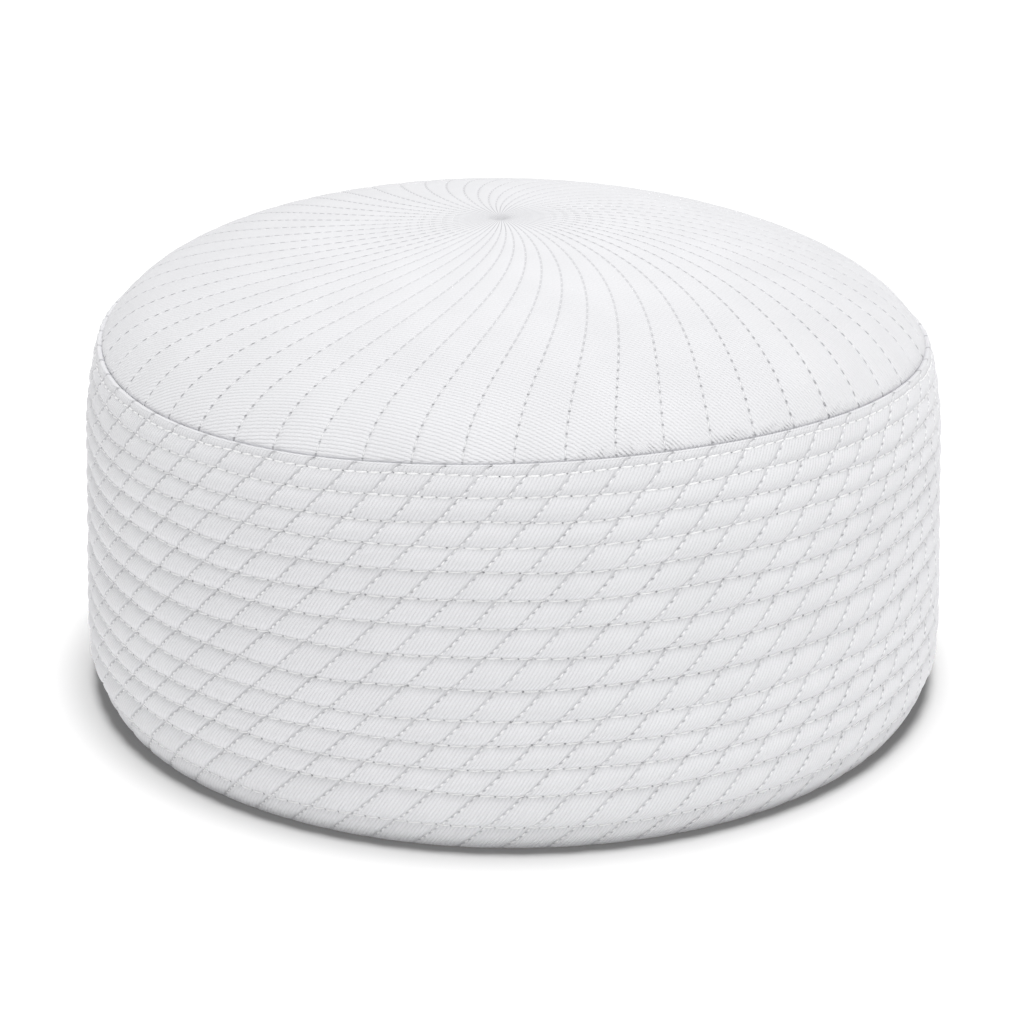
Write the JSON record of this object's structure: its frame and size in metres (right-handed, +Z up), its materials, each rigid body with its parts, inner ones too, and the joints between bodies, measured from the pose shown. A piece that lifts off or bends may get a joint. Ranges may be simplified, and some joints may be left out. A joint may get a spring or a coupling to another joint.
{
  "type": "kufi cap",
  "caption": "Round brimless white cotton cap: a low quilted crown with swirling channels on an upright, padded and corded band.",
  "frame": {"origin": "centre of the cap's lower edge, on the surface it stands on", "axes": "+Z up through the middle of the crown; -Y towards the front, the side nearest to the viewer in the picture; +X to the viewer's right"},
  "size_m": [0.1908, 0.191, 0.1051],
  "materials": {
    "crown_cotton": "white cotton twill, quilted in soft channels",
    "band_cotton": "white cotton twill, padded ribs crossed by slanting seams",
    "white_thread": "white sewing thread"
  },
  "bodies": {
    "root": {"crown": "crown_cotton", "band": "band_cotton"}
  },
  "joints": []
}
